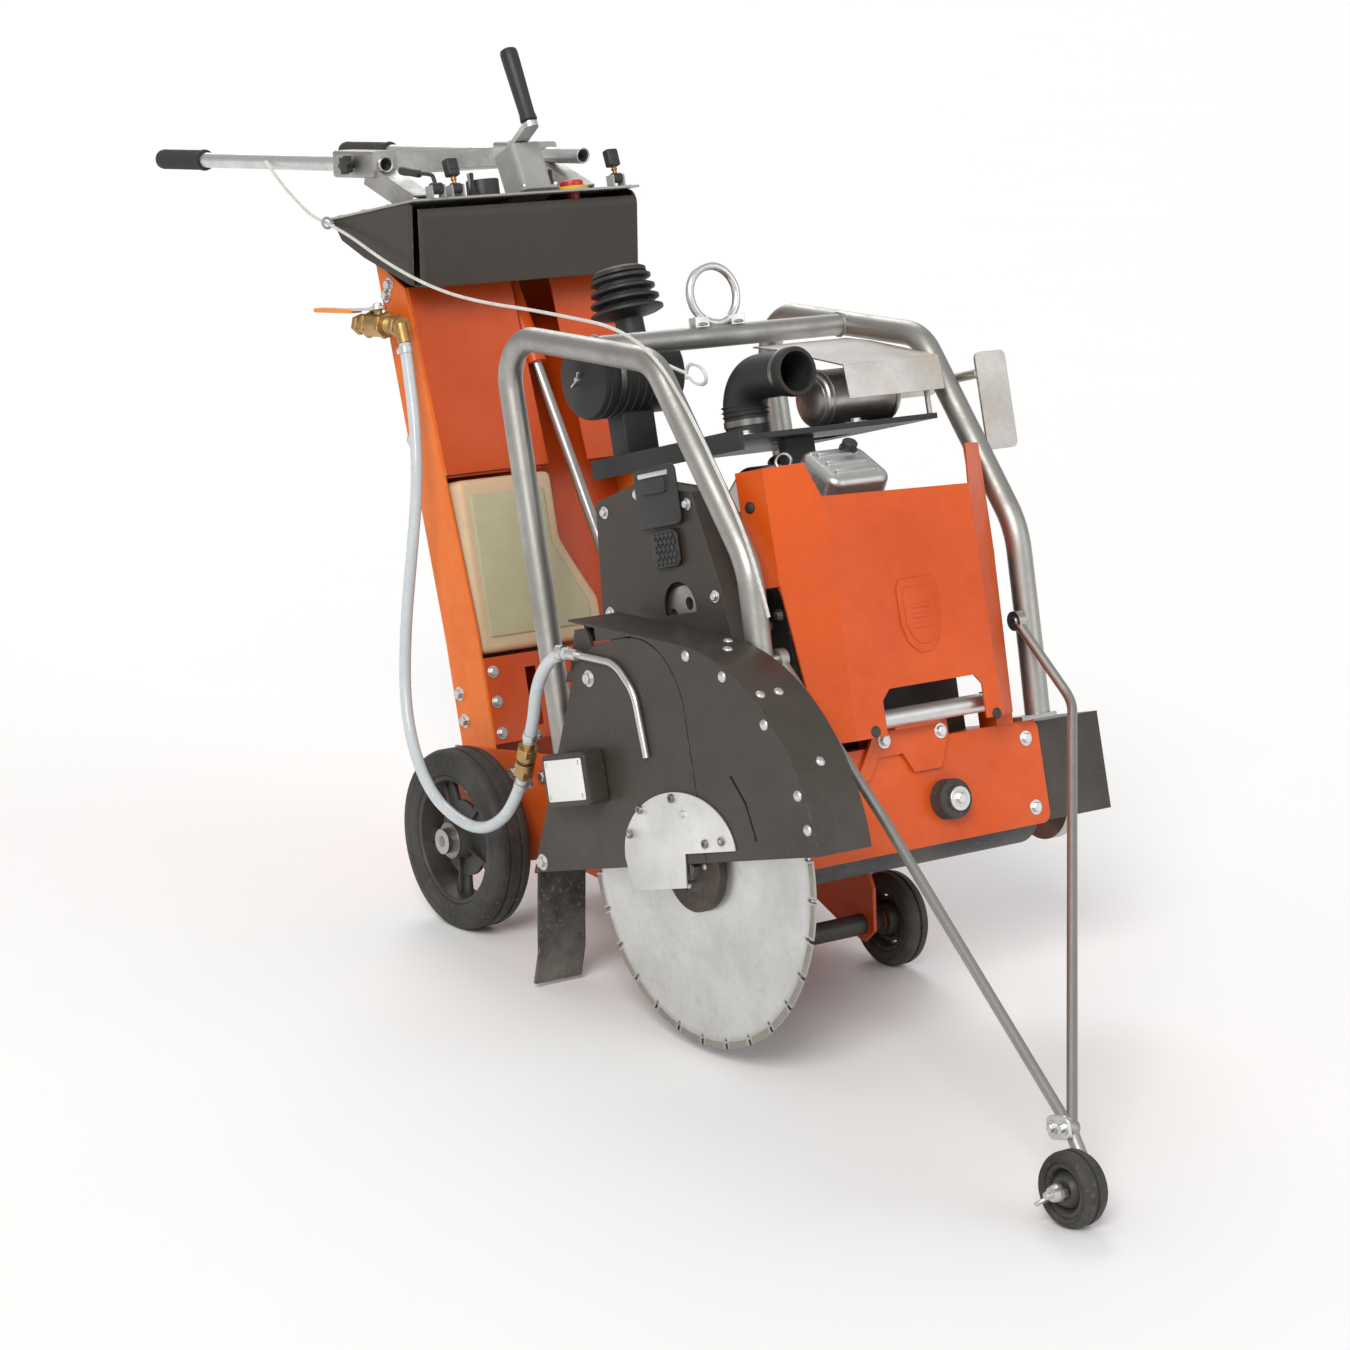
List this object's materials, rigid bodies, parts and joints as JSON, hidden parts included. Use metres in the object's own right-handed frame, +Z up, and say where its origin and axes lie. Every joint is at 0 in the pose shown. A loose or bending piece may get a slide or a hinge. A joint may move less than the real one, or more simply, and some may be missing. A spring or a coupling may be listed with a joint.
{
  "type": "walk-behind concrete floor saw",
  "caption": "Walk-behind concrete floor saw with an engine, tubular cage, belt-driven diamond blade under a hinged guard, crank depth control and a folding guide pointer.",
  "frame": {"origin": "bottom centre of the machine's bounding box without its hoses and rope, on the ground", "axes": "+X forward towards the guide wheel, +Y the machine's left, +Z up"},
  "size_m": [2.5748, 0.729, 1.289],
  "materials": {
    "orange_paint": "satin",
    "dark_paint": "satin",
    "grey_paint": "satin",
    "zinc_tube": "satin",
    "machined_steel": "satin",
    "blade_steel": "satin",
    "cast_aluminium": "cast",
    "heat_steel": "satin",
    "black_paint": "satin",
    "tyre_rubber": "matte",
    "black_rubber": "matte",
    "black_plastic": "matte",
    "tank_plastic": "satin",
    "hose_plastic": "gloss",
    "red_plastic": "gloss",
    "brass": "satin",
    "rope_fibre": "matte"
  },
  "bodies": {
    "chassis": {"air_cleaner": "black_plastic", "ball_valve": "brass", "base_frame": "orange_paint", "belt_guard": "dark_paint", "bumper": "black_rubber", "column_housing": "orange_paint", "console_housing": "dark_paint", "console_panel": "grey_paint", "control_box": "black_plastic", "cover_bracket": "orange_paint", "crank_housing": "grey_paint", "drive_belts": "black_rubber", "engine_crankcase": "black_paint", "engine_cylinders": "black_paint", "engine_shroud": "black_plastic", "frame_bolts": "zinc_tube", "front_cover": "orange_paint", "guard_face_plates": "machined_steel", "guard_hose": "hose_plastic", "guard_water_tube": "zinc_tube", "handle_frame": "zinc_tube", "heat_shields": "heat_steel", "hoop_crossbar": "zinc_tube", "hoop_left": "zinc_tube", "hoop_right": "zinc_tube", "hose_coupling": "brass", "intake_elbow": "black_plastic", "left_flange_cover": "dark_paint", "lifting_ring": "zinc_tube", "mud_flap": "black_rubber", "muffler": "heat_steel", "pointer_rope": "rope_fibre", "rear_axle": "machined_steel", "rear_guard": "dark_paint", "shaft_bearings": "black_paint", "valve_covers": "cast_aluminium", "water_hose": "hose_plastic", "water_tank": "tank_plastic"},
    "rear_wheel_right_body": {"rear_wheel_right": "tyre_rubber"},
    "rear_wheel_left_body": {"rear_wheel_left": "tyre_rubber"},
    "front_arm_body": {"front_arm": "orange_paint"},
    "front_wheel_right_body": {"front_wheel_right": "tyre_rubber"},
    "front_wheel_left_body": {"front_wheel_left": "tyre_rubber"},
    "lift_screw_body": {"lift_screw": "machined_steel"},
    "crank_body": {"crank_arm": "machined_steel"},
    "crank_grip_body": {"crank_grip": "black_plastic"},
    "handlebar_right_body": {"handlebar_right": "zinc_tube"},
    "handlebar_left_body": {"handlebar_left": "zinc_tube"},
    "throttle_body": {"throttle_lever": "black_plastic"},
    "choke_body": {"choke_lever": "black_plastic"},
    "speed_body": {"speed_lever": "black_plastic"},
    "stop_body": {"stop_button": "red_plastic"},
    "front_guard_body": {"front_guard": "dark_paint"},
    "pointer_body": {"pointer_frame": "zinc_tube"},
    "pointer_wheel_body": {"pointer_wheel": "tyre_rubber"},
    "spindle": {"blade_shaft": "machined_steel", "saw_blade": "blade_steel", "blade_flanges": "machined_steel"},
    "engine_pulley_body": {"engine_pulley": "machined_steel"},
    "valve_lever_body": {"valve_lever": "orange_paint"}
  },
  "joints": [
    {"name": "rear_wheel_right_spin", "type": "hinge", "parent": "chassis", "child": "rear_wheel_right_body", "pos_m": [-0.18669, -0.2385, 0.13702], "axis": [0, 1, 0], "continuous": true},
    {"name": "rear_wheel_left_spin", "type": "hinge", "parent": "chassis", "child": "rear_wheel_left_body", "pos_m": [-0.18669, 0.2675, 0.13702], "axis": [0, 1, 0], "continuous": true},
    {"name": "crank_turn", "type": "hinge", "parent": "chassis", "child": "crank_body", "pos_m": [-0.48213, 0.0595, 1.10379], "axis": [-0.4909, 0, 0.8712], "range_deg": [0, 3600]},
    {"name": "crank_grip_spin", "type": "hinge", "parent": "crank_body", "child": "crank_grip_body", "pos_m": [-0.42988, 0.0415, 1.16996], "axis": [-0.4909, 0, 0.8712], "continuous": true},
    {"name": "front_arm_swing", "type": "hinge", "parent": "chassis", "child": "front_arm_body", "pos_m": [0.11847, 0.0145, 0.15884], "axis": [0, -1, 0], "range_deg": [0, 24]},
    {"name": "lift_screw_travel", "type": "slide", "parent": "chassis", "child": "lift_screw_body", "axis": [0.5693, 0, -0.8222], "range_m": [0, 0.0286]},
    {"name": "front_wheel_right_spin", "type": "hinge", "parent": "front_arm_body", "child": "front_wheel_right_body", "pos_m": [0.32653, -0.1385, 0.07], "axis": [0, 1, 0], "continuous": true},
    {"name": "front_wheel_left_spin", "type": "hinge", "parent": "front_arm_body", "child": "front_wheel_left_body", "pos_m": [0.32653, 0.1675, 0.07], "axis": [0, 1, 0], "continuous": true},
    {"name": "handlebar_right_slide", "type": "slide", "parent": "chassis", "child": "handlebar_right_body", "axis": [0.9976, 0, 0.0698], "range_m": [0, 0.065]},
    {"name": "handlebar_left_slide", "type": "slide", "parent": "chassis", "child": "handlebar_left_body", "axis": [-0.9976, 0, -0.0698], "range_m": [0, 0.1]},
    {"name": "throttle_turn", "type": "hinge", "parent": "chassis", "child": "throttle_body", "pos_m": [-0.39854, -0.1505, 1.08686], "axis": [0, 1, 0], "range_deg": [0, 35]},
    {"name": "choke_turn", "type": "hinge", "parent": "chassis", "child": "choke_body", "pos_m": [-0.40625, -0.1105, 1.08474], "axis": [0, 1, 0], "range_deg": [-15, 15]},
    {"name": "speed_turn", "type": "hinge", "parent": "chassis", "child": "speed_body", "pos_m": [-0.40625, 0.1865, 1.08474], "axis": [0, 1, 0], "range_deg": [-15, 15]},
    {"name": "stop_press", "type": "slide", "parent": "chassis", "child": "stop_body", "axis": [0.2656, 0, -0.9641], "range_m": [0, 0.004], "stiffness_N_per_m": 600, "springref_m": -0.002},
    {"name": "front_guard_lift", "type": "hinge", "parent": "chassis", "child": "front_guard_body", "pos_m": [0.23583, -0.2855, 0.53864], "axis": [0, -1, 0], "range_deg": [0, 75]},
    {"name": "pointer_fold", "type": "hinge", "parent": "chassis", "child": "pointer_body", "pos_m": [0.51858, 0.0145, 0.54391], "axis": [0, -1, 0], "range_deg": [0, 115]},
    {"name": "pointer_wheel_spin", "type": "hinge", "parent": "pointer_body", "child": "pointer_wheel_body", "pos_m": [1.24041, -0.3005, 0.04716], "axis": [0, 1, 0], "continuous": true},
    {"name": "spindle_turn", "type": "hinge", "parent": "chassis", "child": "spindle", "pos_m": [0.48709, 0.0145, 0.2666], "axis": [0, 1, 0], "continuous": true},
    {"name": "engine_pulley_turn", "type": "hinge", "parent": "chassis", "child": "engine_pulley_body", "pos_m": [0.34147, -0.2055, 0.55425], "axis": [0, 1, 0], "continuous": true},
    {"name": "valve_turn", "type": "hinge", "parent": "chassis", "child": "valve_lever_body", "pos_m": [-0.48716, -0.2005, 0.89649], "axis": [-0.2656, 0, 0.9641], "range_deg": [0, 90]}
  ],
  "couplings": [
    {"joint": "front_arm_swing", "follows": "crank_turn", "ratio": 0.0066667},
    {"joint": "lift_screw_travel", "follows": "crank_turn", "m_per_rad": 0.00045333},
    {"joint": "engine_pulley_turn", "follows": "spindle_turn", "ratio": 0.73333}
  ]
}
